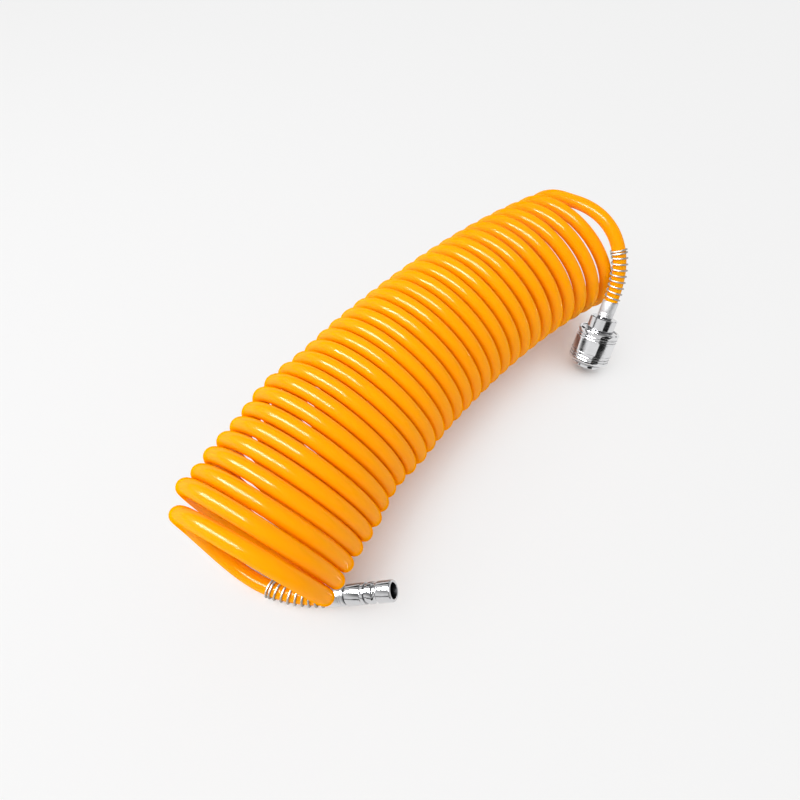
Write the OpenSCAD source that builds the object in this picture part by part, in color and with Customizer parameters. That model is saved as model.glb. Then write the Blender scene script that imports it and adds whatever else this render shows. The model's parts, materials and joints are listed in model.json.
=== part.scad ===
/* [Hose] */
// Outside diameter of the hose
hose_d = 8; // [7.4:0.2:8.4]
// Outside diameter of a turn of the coil
coil_od = 89.6; // [86:0.4:96]
// Turns of the coil
turns = 30; // [20:1:32]
// Advance of each turn along the axis, beyond the hose diameter
turn_gap = 1.15; // [1.15:0.05:2]
// Lean of the first turn, in degrees
first_lean = 8; // [6:0.5:9]

/* [Spring guards] */
// Wire diameter of the guards
guard_wire = 1; // [0.8:0.1:1.2]
// Open turns of a guard
guard_turns = 8; // [5:1:9]
// Pitch of the open turns
guard_pitch = 3.6; // [2.6:0.1:3.8]

/* [Ferrules and hose stems] */
// Wall of a crimped ferrule over the hose
ferrule_wall = 0.9; // [0.7:0.1:1.2]
// Length of a ferrule with its neck
ferrule_len = 11; // [9.5:0.5:12]
// Bore that the air flows through
flow_d = 3.8; // [3:0.2:4.2]
// Barbs on a stem
barbs = 3; // [2:1:4]

/* [Plug] */
// Outside diameter of the nose and the barrel
plug_d = 10.4; // [10:0.1:10.8]
// Length of the plug in front of its ferrule
plug_len = 25; // [21:0.5:28]
// Middle of the locking groove, from the nose
lock_z = 9; // [8:0.5:10]
// Depth of the locking groove
lock_depth = 0.8; // [0.6:0.05:0.9]
// Wall of the plug's nose
nose_wall = 1.45; // [1.2:0.05:1.7]

/* [Socket] */
// Outside diameter of the sleeve
sleeve_d = 26; // [25:0.5:29]
// Pull-back travel of the sleeve
sleeve_travel = 3.5; // [3:0.25:4]
// Diameter of a locking ball
ball_d = 4; // [3.6:0.1:4.2]
// How far a locked ball stands into the bore
ball_bite = 0.75; // [0.6:0.05:0.8]
// Locking balls, from the nose
ball_z = 11.5; // [11:0.25:12.5]
// Length of the nose lip in front of the snap ring
lip_len = 2.2; // [1.6:0.2:2.6]
// Thickness of the snap ring
snap_t = 1.8; // [1.4:0.1:2]
// Length of the sleeve spring between its seats
sleeve_spring_len = 9; // [8.5:0.5:11]
// Travel of the valve
valve_travel = 3; // [2.4:0.2:3.2]
// Length of the valve spring at rest
valve_spring_len = 6.5; // [6:0.25:8]
// Running clearance on the radius
run_gap = 0.05; // [0.03:0.01:0.07]

/* [Hidden] */
$fn = 96;

// Colours
hose_orange = [1, 0.64, 0.02];
chrome = [0.80, 0.81, 0.83];
satin = [0.70, 0.71, 0.73];
spring_steel = [0.60, 0.60, 0.62];
ball_steel = [0.86, 0.86, 0.88];
rubber = [0.09, 0.09, 0.10];

// Coil: the axis bends in plan, the turns spread towards the socket's end, and the plug's guard
// lifts the first turn, which lies on it
turn_rings = 16;
hose_sides = 6;
first_ring = 16;
last_ring = turns * turn_rings + 3;
coil_r = (coil_od - hose_d) / 2;
foot_depth = hose_d / 10;
foot_snap = 0.75 * foot_depth;
far_spread = 27;
near_squeeze = 1.9;
near_squeeze_turns = 0.7;
first_tuck = 2.5;
lift_share = 0.7;
lift_middle = 1.769;
lift_reach = 0.557;
axis_heading = [26, -95, 129, -79];
turn_facing = [9.5, -15, -31, 22];
lean_growth = 6;
sway_mm = 1.5;
sway_middle = 8.5;
sway_zero = 7.4;
sway_turns = 6.4;
sway_reach = 4;

// Tails: control points of each bend, from the end of the coil to the ferrule's mouth. Shares are
// of the turns' radius, counted from the coil's end, and heights are over the ground
plug_lead_share = 0.713;
plug_bend_shares = [[0.092, -0.625], [0.048, -0.866]];
plug_bend_h = [-6.7, 12.2];
plug_lag_share = 0.500;
plug_mouth_share = [0.573, -1.652];
plug_mouth_h = 10.1;
plug_yaw = -52.5;
plug_rise = 25.5;
socket_lead_share = 0.800;
socket_lag_share = 0.722;
socket_mouth_share = [-0.522, -1.207];
socket_nose_h = 5;
socket_yaw = 195;
socket_rise = -59;
tail_sides = 8;
section_side = [1, 0, 0];
tail_step = 4;
curve_steps = 60;

// Spring guards and coil springs
wire_rings = 8;
wire_sides = 6;
guard_clear = 0.15;
guard_r = hose_d / 2 + guard_clear + guard_wire / 2;
guard_od = 2 * guard_r + guard_wire;
closed_turns = 2;
closed_pitch = guard_wire + 0.7;
spring_wire = 1;
spring_turns = 4;
valve_wire = 0.7;
valve_turns = 4;

// Ferrules and stems, measured from the end face of the plug's barrel or the socket's tail
neck_len = 0.6;
neck_r = hose_d / 2 + 0.2;
ferrule_r = hose_d / 2 + ferrule_wall;
ferrule_floor = 0.8;
ferrule_edge = 0.4;
crimp_depth = 0.15;
crimp_z = [2.2, 3.4];
crimp_w = 0.5;
seat_gap = 0.03;
hose_lap = 0.2;
flow_r = flow_d / 2;
stem_r = flow_r + 0.6;
barb_r = stem_r + 0.4;
stem_end = ferrule_len - 0.6;
stem_start = neck_len + ferrule_floor + 0.4;
barb_pitch = (stem_end - stem_start) / (barbs + 0.5);

// Plug
plug_r = plug_d / 2;
nose_bore_r = plug_r - nose_wall;
nose_edge = 0.6;
groove_floor = 1.2;
groove_slope = 0.8;
ring_groove_gap = 3.6;
ring_groove_z = lock_z + ring_groove_gap;
ring_groove_w = 2;
ring_groove_depth = 0.7;
bore_past_lock = 5;
bore_deep = lock_z + bore_past_lock;
bore_cone = 2;

// Socket, measured from its nose towards the hose
bore_r = plug_r + run_gap;
lip_edge = 0.5;
mouth_bevel = 0.8;
bore_relief = 0.3;
relief_r = bore_r + bore_relief;
ball_r = ball_d / 2;
ball_hole_r = ball_r + run_gap;
ball_seat_r = bore_r - ball_bite + ball_r;
balls = 6;
ball_shoulder = 0.6;
ball_shoulder_r = ball_seat_r - ball_shoulder;
ball_lip_r = sqrt(pow(ball_r, 2) - pow(ball_seat_r - bore_r, 2)) + run_gap;
body_r = ball_seat_r + ball_r;
sleeve_front = lip_len + snap_t;
snap_groove_depth = 0.8;
snap_wall = 0.9;
snap_r = body_r + snap_wall;
snap_split = 2.4;
land_r = body_r + run_gap;
front_land = 1.2;
ramp_slope = ball_bite / sleeve_travel;
ramp_past_ball = 0.22;
ramp_z = ball_z + ramp_past_ball;
ramp_r = land_r + (ramp_z - sleeve_front - front_land) * ramp_slope;
spring_seat_past_ball = 3;
spring_seat_z = ball_z + spring_seat_past_ball;
flange_z = spring_seat_z + sleeve_spring_len;
flange_t = 2;
sleeve_r = sleeve_d / 2;
chamber_share = 0.85;
chamber_r = chamber_share * sleeve_r;
flange_r = chamber_r - run_gap;
sleeve_skirt = 0.5;
sleeve_end = flange_z + flange_t + sleeve_skirt;
sleeve_rim = 0.8;
sleeve_groove_w = 1;
sleeve_groove_depth = 0.6;
groove_step = 1.8;
front_inset = 2.6;
rear_inset = 3.8;
front_grooves = [sleeve_front + front_inset, sleeve_front + front_inset + groove_step];
rear_grooves = [sleeve_end - rear_inset - groove_step, sleeve_end - rear_inset];
band_facets = 12;
band_depth = 0.5;
band_inset = 1.2;
band_start = front_grooves[1] + sleeve_groove_w + band_inset;
band_end = rear_grooves[0] - band_inset;
bore_clear = 0.15;
packing_wall = 0.8;
packing_z = ball_z + ball_hole_r + packing_wall;
packing_w = 2.8;
packing_depth = 1.75;
packing_r = bore_r + packing_depth;
stop_z = ball_z + lock_z;
seat_t = 1.5;
seat_z = stop_z + seat_t;
poppet_step = 0.45;
poppet_r = nose_bore_r + poppet_step;
poppet_wall = 1;
seat_hole_r = poppet_r + run_gap;
body_wall = 1.9;
valve_chamber_r = body_r - body_wall;
head_gap = 0.6;
head_r = valve_chamber_r - head_gap;
seal_t = 1;
head_t = 1.5;
head_z = seat_z + seal_t;
poppet_front = stop_z - valve_travel;
port_r = 1.1;
ports = 4;
port_past_stop = 0.3;
port_z = stop_z + port_past_stop;
valve_seat_z = head_z + head_t;
tail_front = valve_seat_z + valve_spring_len;
tail_plug = 3;
body_end = tail_front + tail_plug;
socket_len = body_end + ferrule_len;
oring_wire = 1;
oring_w = 1.2;
valve_spring_inset = 2;
valve_spring_r = head_r - valve_spring_inset;
boss_gap = 0.1;
boss_r = valve_spring_r * cos(180 / wire_rings) - valve_wire / 2 - boss_gap;
boss_h = 1.2;
sleeve_spring_r = (body_r + chamber_r) / (1 + cos(180 / wire_rings));

// Small vector tools
function unit(v) = v / norm(v);
function cubic(c, v) = c[0] + v * (c[1] + v * (c[2] + v * c[3]));
function square_to(v, t) = unit(v - (v * t) * t);
function facing(rise, yaw) = [cos(rise) * cos(yaw), cos(rise) * sin(yaw), sin(rise)];

// Coil: place along the axis, height of the turns, and the ring centres
function station(u) = (hose_d + turn_gap) * u + far_spread * pow(u / turns, 4)
    - near_squeeze * exp(-(u - 1) / near_squeeze_turns);
function sway(u) = sway_mm * sin(360 * (u - sway_zero) / sway_turns)
    * exp(-pow((u - sway_middle) / sway_reach, 2));
function turn_r(u) = coil_r - first_tuck * exp(-(u - 1));
function lift(u) = lift_share * guard_od * exp(-pow((u - lift_middle) / lift_reach, 2));
function ring_u(i) = (i + 0.5) / turn_rings;
function across(u) = [cos(cubic(turn_facing, u / turns)), sin(cubic(turn_facing, u / turns)), 0];
function sideways(u) = [-across(u)[1], across(u)[0], 0];
function axis_step(i) = (station(ring_u(i + 1)) - station(ring_u(i)))
    * [cos(cubic(axis_heading, (i + 1) / turn_rings / turns)),
       sin(cubic(axis_heading, (i + 1) / turn_rings / turns)), 0];

chord_fit = 2 / (1 + cos(180 / turn_rings));
axis_points = [for (i = first_ring, p = [0, 0, 0]; i <= last_ring; p = p + axis_step(i), i = i + 1) p];

function ring_centre(i) =
    let (u = ring_u(i), lean = first_lean + lean_growth * u / turns, r = turn_r(u),
         rise = [0, 0, cos(lean)] - sin(lean) * across(u))
    axis_points[i - first_ring] + sway(u) * sideways(u)
    + [0, 0, hose_d / 2 - foot_depth + lift(u) + r * cos(lean)]
    + r * chord_fit * (cos(360 * u) * sideways(u) + sin(360 * u) * rise);

turn_centres = [for (i = [first_ring : last_ring]) ring_centre(i)];
turn_count = len(turn_centres);
near_way = unit(3 * turn_centres[0] - 4 * turn_centres[1] + turn_centres[2]);
far_way = unit(3 * turn_centres[turn_count - 1] - 4 * turn_centres[turn_count - 2]
    + turn_centres[turn_count - 3]);
near_end = turn_centres[0] + hose_d * near_way;
far_end = turn_centres[turn_count - 1] + hose_d * far_way;
coil_centres = concat([near_end], turn_centres, [far_end]);
coil_across = concat([across(ring_u(first_ring))],
    [for (i = [first_ring : last_ring]) across(ring_u(i))], [across(ring_u(last_ring))]);

// Tails as smooth curves: from the coil, straight on, through the bend, straight into the ferrule
function blend(p, t) = len(p) == 1 ? p[0]
    : blend([for (i = [0 : len(p) - 2]) (1 - t) * p[i] + t * p[i + 1]], t);
plug_way = facing(plug_rise, plug_yaw);
socket_way = facing(socket_rise, socket_yaw);
function tail_point(end, share, h) = [end[0] + coil_r * share[0], end[1] + coil_r * share[1], h];
plug_end = tail_point(near_end, plug_mouth_share, plug_mouth_h);
socket_end = tail_point(far_end, socket_mouth_share, socket_nose_h - socket_len * socket_way[2]);
plug_curve = concat([near_end, near_end + coil_r * plug_lead_share * near_way],
    [for (i = [0 : 1]) tail_point(near_end, plug_bend_shares[i], plug_bend_h[i])],
    [plug_end - coil_r * plug_lag_share * plug_way, plug_end]);
socket_curve = [far_end, far_end + coil_r * socket_lead_share * far_way,
    socket_end - coil_r * socket_lag_share * socket_way, socket_end];
function polyline_length(p) = len(p) < 2 ? 0
    : [for (i = 1, s = norm(p[1] - p[0]); i < len(p); i = i + 1,
        s = i < len(p) ? s + norm(p[i] - p[i - 1]) : s) s][len(p) - 2];
function curve_length(c) = polyline_length([for (i = [0 : curve_steps]) blend(c, i / curve_steps)]);
function tail_centres(c) = let (n = ceil(curve_length(c) / tail_step))
    [for (i = [0 : n]) blend(c, i / n)];

// Directions, rings and faces of a swept tube
function directions(p, first, last) = [for (i = [0 : len(p) - 1])
    i == 0 ? first : i == len(p) - 1 ? last : unit(p[i + 1] - p[i - 1])];
function ring_points(p, ways, sides_at, r, sides) = [for (i = [0 : len(p) - 1])
    let (a = square_to(sides_at[i], ways[i]), b = cross(ways[i], a))
    for (k = [0 : sides - 1]) p[i] + r * (cos(360 * k / sides) * a + sin(360 * k / sides) * b)];
function side_faces(rings, sides) = [for (i = [0 : rings - 2], k = [0 : sides - 1], half = [0, 1])
    let (m = (k + 1) % sides, low = i * sides, high = (i + 1) * sides)
    half == 0 ? [low + k, high + k, high + m] : [low + k, high + m, low + m]];
function cap_faces(rings, sides) = let (top = (rings - 1) * sides)
    [for (k = [1 : sides - 2], end = [0, 1])
        end == 0 ? [0, k, k + 1] : [top, top + k + 1, top + k]];
function tube_faces(rings, sides) = concat(side_faces(rings, sides), cap_faces(rings, sides));

// Guard wire wound round a tail, from the ferrule's mouth back along the hose
function curve_table(c) = let (p = [for (i = [0 : curve_steps]) blend(c, 1 - i / curve_steps)])
    [for (i = 0, s = 0; i <= curve_steps; i = i + 1,
        s = i <= curve_steps ? s + norm(p[i] - p[i - 1]) : s) [s, 1 - i / curve_steps]];
function curve_way(c, t) = let (d = 0.01)
    unit(blend(c, min(1, t + d)) - blend(c, max(0, t - d)));
function guard_s(a) = a <= guard_turns ? guard_wire + a * guard_pitch
    : guard_wire + guard_turns * guard_pitch + (a - guard_turns) * closed_pitch;
function around(way, a) = let (n = square_to(section_side, way))
    cos(360 * a) * n + sin(360 * a) * cross(way, n);
function guard_steps() = [for (i = [0 : (guard_turns + closed_turns) * wire_rings]) i / wire_rings];
function guard_point(c, table, s, a) = let (t = lookup(s, table))
    blend(c, t) + guard_r * around(curve_way(c, t), a);
function guard_path(c) = let (table = curve_table(c))
    concat([guard_point(c, table, 0, 0)],
        [for (a = guard_steps()) guard_point(c, table, guard_s(a), a)]);
function guard_radials(c) = let (table = curve_table(c))
    concat([around(curve_way(c, 1), 0)],
        [for (a = guard_steps()) around(curve_way(c, lookup(guard_s(a), table)), a)]);

// Coil spring wound round the local z axis, with a straight tang at each end
function spring_angles(n) = [for (i = [0 : n * wire_rings]) i / wire_rings];
function spring_path(r, z0, z1, n, wire) =
    let (rise = (z1 - z0 - 2 * wire) / n, edge = r * [cos(360 * n), sin(360 * n), 0])
    concat([[r, 0, z0]],
        [for (a = spring_angles(n)) [r * cos(360 * a), r * sin(360 * a), z0 + wire + a * rise]],
        [edge + [0, 0, z1]]);
function spring_radials(n) = concat([[1, 0, 0]],
    [for (a = spring_angles(n)) [cos(360 * a), sin(360 * a), 0]], [[cos(360 * n), sin(360 * n), 0]]);

// Least gap of a wound tube to its own next turn, on points against segments
function to_segment(p, a, b) = let (ab = b - a, t = max(0, min(1, (p - a) * ab / (ab * ab))))
    norm(p - a - t * ab);
function least_gap(p, rings, d) = min([for (i = [0 : len(p) - rings - 4], j = [-3 : 2])
    to_segment(p[i], p[i + rings + j], p[i + rings + j + 1])]) - d;

// Place of the whole part: centred over the middle of its box
coil_rings = ring_points(coil_centres, directions(coil_centres, near_way * -1, far_way),
    coil_across, hose_d / 2, hose_sides);
plug_nose = plug_end + (plug_len + ferrule_len) * plug_way;
socket_nose = socket_end + socket_len * socket_way;
function rim_y(z, r) = (socket_nose - z * socket_way)[1] - r * sqrt(1 - pow(socket_way[1], 2));
low_y = min(rim_y(sleeve_front, sleeve_r - sleeve_rim), rim_y(sleeve_front + sleeve_rim, sleeve_r),
    rim_y(0, body_r - lip_edge));
xs = [for (v = coil_rings) v[0]];
ys = [for (v = coil_rings) v[1]];
home = [-(min(xs) + max(xs)) / 2, -(min(concat(ys, [low_y])) + max(ys)) / 2, 0];

module swept(p, ways, sides_at, r, sides) {
    polyhedron(ring_points(p, ways, sides_at, r, sides), tube_faces(len(p), sides));
}

module at_plug() {
    translate(home + plug_nose)
        rotate([0, 90 + plug_rise, 180 + plug_yaw])
            children();
}

module at_socket() {
    translate(home + socket_nose)
        rotate([0, 90 + socket_rise, 180 + socket_yaw])
            children();
}

// Turned profile given as [radius, height] points
module turned(points) {
    rotate_extrude()
        polygon(points);
}

module hose_coil() {
    color(hose_orange)
        translate(home)
            polyhedron([for (v = coil_rings) v[2] < foot_snap ? [v[0], v[1], 0] : v],
                tube_faces(len(coil_centres), hose_sides));
}

module tail_tube(c) {
    p = tail_centres(c);
    first = unit(c[1] - c[0]);
    last = unit(c[len(c) - 1] - c[len(c) - 2]);
    ways = directions(p, first, last);
    translate(home)
        swept(p, ways, [for (w = ways) around(w, 0)], hose_d / 2, tail_sides);
}

// Outside of a barbed stem; grow widens it for the hose that is pushed over it
module stem_shape(grow) {
    turned(concat([[0, 0], [stem_r + grow, 0]],
        [for (i = [0 : barbs - 1])
            let (z = stem_start + i * barb_pitch)
            for (q = [[stem_r + grow, z], [barb_r + grow, z], [stem_r + grow, z + barb_pitch]]) q],
        [[stem_r + grow, stem_end], [0, stem_end]]));
}

// Hose end inside a ferrule, measured from the end face that the ferrule stands on
module hose_end() {
    start = neck_len + ferrule_floor;
    difference() {
        translate([0, 0, start])
            cylinder(r = hose_d / 2 + seat_gap / 2, h = ferrule_len + hose_lap - start);
        stem_shape(seat_gap);
    }
}

module hose_tail_plug() {
    color(hose_orange) {
        tail_tube(plug_curve);
        at_plug()
            translate([0, 0, plug_len])
                hose_end();
    }
}

module hose_tail_socket() {
    color(hose_orange) {
        tail_tube(socket_curve);
        at_socket()
            translate([0, 0, body_end])
                hose_end();
    }
}

module guard(c) {
    p = guard_path(c);
    first = unit(p[1] - p[0]);
    last = unit(p[len(p) - 1] - p[len(p) - 2]);
    translate(home)
        swept(p, directions(p, first, last), guard_radials(c), guard_wire / 2, wire_sides);
}

module spring_guard_plug() {
    color(spring_steel)
        guard(plug_curve);
}

module spring_guard_socket() {
    color(spring_steel)
        guard(socket_curve);
}

module ferrule() {
    foot = neck_len;
    inner = hose_d / 2 + seat_gap;
    turned(concat([[stem_r + seat_gap, foot], [ferrule_r - ferrule_edge, foot],
            [ferrule_r, foot + ferrule_edge]],
        [for (z = crimp_z) for (q = [[ferrule_r, z], [ferrule_r - crimp_depth, z + crimp_w / 4],
            [ferrule_r - crimp_depth, z + crimp_w * 3 / 4], [ferrule_r, z + crimp_w]]) q],
        [[ferrule_r, ferrule_len - ferrule_edge], [ferrule_r - ferrule_edge / 2, ferrule_len],
            [inner, ferrule_len], [inner, foot + ferrule_floor],
            [stem_r + seat_gap, foot + ferrule_floor]]));
}

module ferrule_plug() {
    color(satin)
        at_plug()
            translate([0, 0, plug_len])
                ferrule();
}

module ferrule_socket() {
    color(satin)
        at_socket()
            translate([0, 0, body_end])
                ferrule();
}

// Neck and barbed stem that carry a ferrule and the hose's end
module stem() {
    cylinder(r = neck_r, h = neck_len);
    stem_shape(0);
}

module plug_body() {
    g0 = lock_z - groove_floor / 2 - groove_slope;
    g1 = lock_z + groove_floor / 2 + groove_slope;
    color(chrome)
        at_plug()
            difference() {
                union() {
                    turned([[0, 0], [plug_r - nose_edge, 0], [plug_r, nose_edge], [plug_r, g0],
                        [plug_r - lock_depth, g0 + groove_slope],
                        [plug_r - lock_depth, g1 - groove_slope], [plug_r, g1],
                        [plug_r, ring_groove_z], [plug_r - ring_groove_depth, ring_groove_z],
                        [plug_r - ring_groove_depth, ring_groove_z + ring_groove_w],
                        [plug_r, ring_groove_z + ring_groove_w], [plug_r, plug_len - ferrule_edge],
                        [plug_r - ferrule_edge, plug_len], [0, plug_len]]);
                    translate([0, 0, plug_len])
                        stem();
                }
                turned([[0, -1], [nose_bore_r + nose_edge / 2, -1],
                    [nose_bore_r + nose_edge / 2, 0], [nose_bore_r, nose_edge / 2],
                    [nose_bore_r, bore_deep], [flow_r, bore_deep + bore_cone],
                    [flow_r, plug_len + stem_end + 1], [0, plug_len + stem_end + 1]]);
            }
}

module socket_body() {
    snap_groove_r = body_r - snap_groove_depth;
    color(chrome)
        at_socket()
            difference() {
                turned([[0, 0], [body_r - lip_edge, 0], [body_r, lip_edge], [body_r, lip_len],
                    [snap_groove_r, lip_len], [snap_groove_r, sleeve_front], [body_r, sleeve_front],
                    [body_r, flange_z], [flange_r, flange_z], [flange_r, flange_z + flange_t],
                    [body_r, flange_z + flange_t], [body_r, body_end - lip_edge],
                    [body_r - lip_edge, body_end], [0, body_end]]);
                turned([[0, -1], [bore_r + mouth_bevel, -1], [bore_r + mouth_bevel, 0],
                    [bore_r, mouth_bevel], [bore_r, ball_z - ball_hole_r - bore_clear],
                    [relief_r, ball_z - ball_hole_r - bore_clear], [relief_r, packing_z],
                    [packing_r, packing_z], [packing_r, packing_z + packing_w],
                    [relief_r, packing_z + packing_w], [relief_r, stop_z],
                    [seat_hole_r, stop_z], [seat_hole_r, seat_z],
                    [valve_chamber_r, seat_z], [valve_chamber_r, body_end + 1], [0, body_end + 1]]);
                for (i = [0 : balls - 1])
                    rotate([0, 0, i * 360 / balls])
                        ball_hole();
            }
}

// Radial hole of one ball: it widens outwards, so that the ball can't fall into the bore
module ball_hole() {
    inner = bore_r / 2;
    translate([0, 0, ball_z])
        rotate([0, 90, 0]) {
            translate([0, 0, inner])
                cylinder(r = ball_lip_r, h = bore_r - inner);
            translate([0, 0, bore_r])
                cylinder(r1 = ball_lip_r, r2 = ball_hole_r, h = ball_shoulder_r - bore_r);
            translate([0, 0, ball_shoulder_r])
                cylinder(r = ball_hole_r, h = body_r - ball_shoulder_r + 1);
        }
}

module lock_ball(i) {
    color(ball_steel)
        at_socket()
            rotate([0, 0, i * 360 / balls])
                translate([ball_seat_r, 0, ball_z])
                    sphere(r = ball_r, $fn = 40);
}

module socket_tail() {
    groove_z = (tail_front + body_end - oring_w) / 2;
    plug_in_r = valve_chamber_r - run_gap;
    groove_r = valve_chamber_r - oring_wire;
    mouth = 1;
    color(chrome)
        at_socket()
            difference() {
                union() {
                    turned([[0, tail_front], [plug_in_r - ferrule_edge, tail_front],
                        [plug_in_r, tail_front + ferrule_edge], [plug_in_r, groove_z],
                        [groove_r, groove_z], [groove_r, groove_z + oring_w],
                        [plug_in_r, groove_z + oring_w], [plug_in_r, body_end], [0, body_end]]);
                    translate([0, 0, body_end])
                        stem();
                }
                turned([[0, tail_front - 1], [flow_r + mouth, tail_front - 1],
                    [flow_r + mouth, tail_front], [flow_r, tail_front + mouth],
                    [flow_r, body_end + stem_end + 1], [0, body_end + stem_end + 1]]);
            }
}

module tail_oring() {
    color(rubber)
        at_socket()
            translate([0, 0, (tail_front + body_end) / 2])
                rotate_extrude()
                    translate([valve_chamber_r - oring_wire / 2, 0])
                        circle(r = oring_wire / 2, $fn = 32);
}

module sleeve() {
    g = sleeve_groove_w;
    deep = sleeve_r - sleeve_groove_depth;
    color(chrome)
        at_socket()
            difference() {
                turned(concat([[land_r, sleeve_front], [sleeve_r - sleeve_rim, sleeve_front],
                        [sleeve_r, sleeve_front + sleeve_rim]],
                    [for (z = concat(front_grooves, rear_grooves))
                        for (q = [[sleeve_r, z], [deep, z], [deep, z + g], [sleeve_r, z + g]]) q],
                    [[sleeve_r, sleeve_end - sleeve_rim], [sleeve_r - sleeve_rim, sleeve_end],
                        [chamber_r, sleeve_end], [chamber_r, spring_seat_z], [land_r, spring_seat_z],
                        [land_r, ramp_z], [ramp_r, sleeve_front + front_land],
                        [land_r, sleeve_front + front_land]]));
                translate([0, 0, band_start])
                    difference() {
                        cylinder(r = sleeve_r + 1, h = band_end - band_start);
                        translate([0, 0, -1])
                            rotate([0, 0, 180 / band_facets])
                                cylinder(r = (sleeve_r - band_depth) / cos(180 / band_facets),
                                    h = band_end - band_start + 2, $fn = band_facets);
                    }
            }
}

module coil_spring(r, z0, z1, n, wire) {
    p = spring_path(r, z0, z1, n, wire);
    swept(p, directions(p, [0, 0, 1], [0, 0, 1]), spring_radials(n), wire / 2, wire_sides);
}

module sleeve_spring() {
    color(spring_steel)
        at_socket()
            coil_spring(sleeve_spring_r, spring_seat_z, flange_z, spring_turns, spring_wire);
}

module valve_spring() {
    color(spring_steel)
        at_socket()
            coil_spring(valve_spring_r, valve_seat_z, tail_front, valve_turns, valve_wire);
}

module snap_ring() {
    color(spring_steel)
        at_socket()
            difference() {
                translate([0, 0, lip_len + seat_gap])
                    difference() {
                        cylinder(r = snap_r, h = snap_t - 2 * seat_gap);
                        translate([0, 0, -1])
                            cylinder(r = body_r - snap_groove_depth + seat_gap, h = snap_t + 2);
                    }
                translate([-snap_split / 2, body_r / 2, lip_len - 1])
                    cube([snap_split, body_r, snap_t + 2]);
            }
}

module bore_packing() {
    outer = packing_r - seat_gap;
    inner = plug_r - seat_gap;
    z0 = packing_z + seat_gap;
    z1 = packing_z + packing_w - seat_gap;
    lip = 0.6;
    color(rubber)
        at_socket()
            turned([[inner + lip, z0], [outer, z0], [outer, z1], [inner + lip, z1],
                [inner, z1 - lip], [inner, z0 + lip]]);
}

module valve_poppet() {
    tube_in = poppet_r - poppet_wall;
    color(satin)
        at_socket()
            difference() {
                turned([[tube_in, poppet_front], [poppet_r, poppet_front], [poppet_r, head_z],
                    [head_r, head_z], [head_r, valve_seat_z], [boss_r, valve_seat_z],
                    [boss_r, valve_seat_z + boss_h], [0, valve_seat_z + boss_h], [0, seat_z],
                    [tube_in, seat_z]]);
                for (i = [0 : ports - 1])
                    rotate([0, 0, (i + 0.5) * 360 / ports])
                        translate([0, 0, port_z])
                            rotate([0, 90, 0])
                                translate([0, 0, tube_in - 1])
                                    cylinder(r = port_r, h = poppet_wall + 2, $fn = 32);
            }
}

module valve_seal() {
    color(rubber)
        at_socket()
            turned([[poppet_r + seat_gap, seat_z], [head_r - seat_gap, seat_z],
                [head_r - seat_gap, head_z], [poppet_r + seat_gap, head_z]]);
}

// What a maker wants to read off: gaps of the wound tubes, and where the fittings lie
echo(coil_gap = least_gap(turn_centres, turn_rings, hose_d));
echo(guard_gaps = [least_gap(guard_path(plug_curve), wire_rings, guard_wire),
    least_gap(guard_path(socket_curve), wire_rings, guard_wire)]);
echo(spring_gaps = [
    least_gap(spring_path(sleeve_spring_r, spring_seat_z, flange_z, spring_turns, spring_wire),
        wire_rings, spring_wire),
    least_gap(spring_path(valve_spring_r, valve_seat_z, tail_front, valve_turns, valve_wire),
        wire_rings, valve_wire)]);
echo(lengths = [polyline_length(coil_centres), curve_length(plug_curve), curve_length(socket_curve)]);
echo(home = home, near_end = near_end, far_end = far_end, near_way = near_way, far_way = far_way);
foot = [for (i = [0, 1]) turn_centres[floor(turns / 2) * turn_rings + turn_rings * 3 / 4 - first_ring - i]];
echo(middle_foot = home + (foot[0] + foot[1]) / 2);
echo(plug_nose = home + plug_nose, plug_way = plug_way);
echo(socket_nose = home + socket_nose, socket_way = socket_way, socket_len = socket_len);

hose_coil();
hose_tail_plug();
hose_tail_socket();
spring_guard_plug();
spring_guard_socket();
ferrule_plug();
ferrule_socket();
plug_body();
socket_body();
socket_tail();
tail_oring();
sleeve();
sleeve_spring();
snap_ring();
bore_packing();
valve_poppet();
valve_seal();
valve_spring();
lock_ball(0);  // lock_ball_1
lock_ball(1);  // lock_ball_2
lock_ball(2);  // lock_ball_3
lock_ball(3);  // lock_ball_4
lock_ball(4);  // lock_ball_5
lock_ball(5);  // lock_ball_6
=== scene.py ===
# Coiled air hose: the hose, its spring guards, couplings and finishes, in a plain pale studio
import json
import math

import bmesh
import bpy
from mathutils import Matrix, Vector


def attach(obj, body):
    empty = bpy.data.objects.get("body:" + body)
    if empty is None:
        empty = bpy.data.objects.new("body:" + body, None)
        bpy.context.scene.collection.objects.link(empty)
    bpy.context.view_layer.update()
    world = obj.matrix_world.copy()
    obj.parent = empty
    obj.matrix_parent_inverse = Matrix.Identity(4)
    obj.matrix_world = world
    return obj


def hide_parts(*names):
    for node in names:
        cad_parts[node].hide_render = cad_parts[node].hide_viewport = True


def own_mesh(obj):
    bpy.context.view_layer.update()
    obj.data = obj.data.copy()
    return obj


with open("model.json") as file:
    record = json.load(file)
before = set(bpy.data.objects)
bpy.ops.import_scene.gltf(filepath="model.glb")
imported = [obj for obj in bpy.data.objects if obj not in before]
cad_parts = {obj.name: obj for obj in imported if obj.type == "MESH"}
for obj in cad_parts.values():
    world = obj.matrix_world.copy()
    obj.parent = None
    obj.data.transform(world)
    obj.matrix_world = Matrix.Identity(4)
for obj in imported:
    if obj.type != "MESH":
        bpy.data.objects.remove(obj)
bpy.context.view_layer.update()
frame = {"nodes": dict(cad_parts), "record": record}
mounts = {m["name"]: m for m in frame["record"]["mounts"]}
mm = 0.001
tiny = 1e-6  # metres, places closer than this are one
print("frame loaded,", len(frame["nodes"]), "nodes")


# the camera looks down along the coil from the plug's end
camera = {
    "back": -164.15,  # place over the floor, mm
    "side": -103.35,
    "height": 278.3,
    "turn": -50.0,  # heading, degrees from +Y
    "tilt": 36.0,  # 90 looks at the horizon
    "focal": 23.54,  # mm, on a sensor 36 mm wide
}


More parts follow.
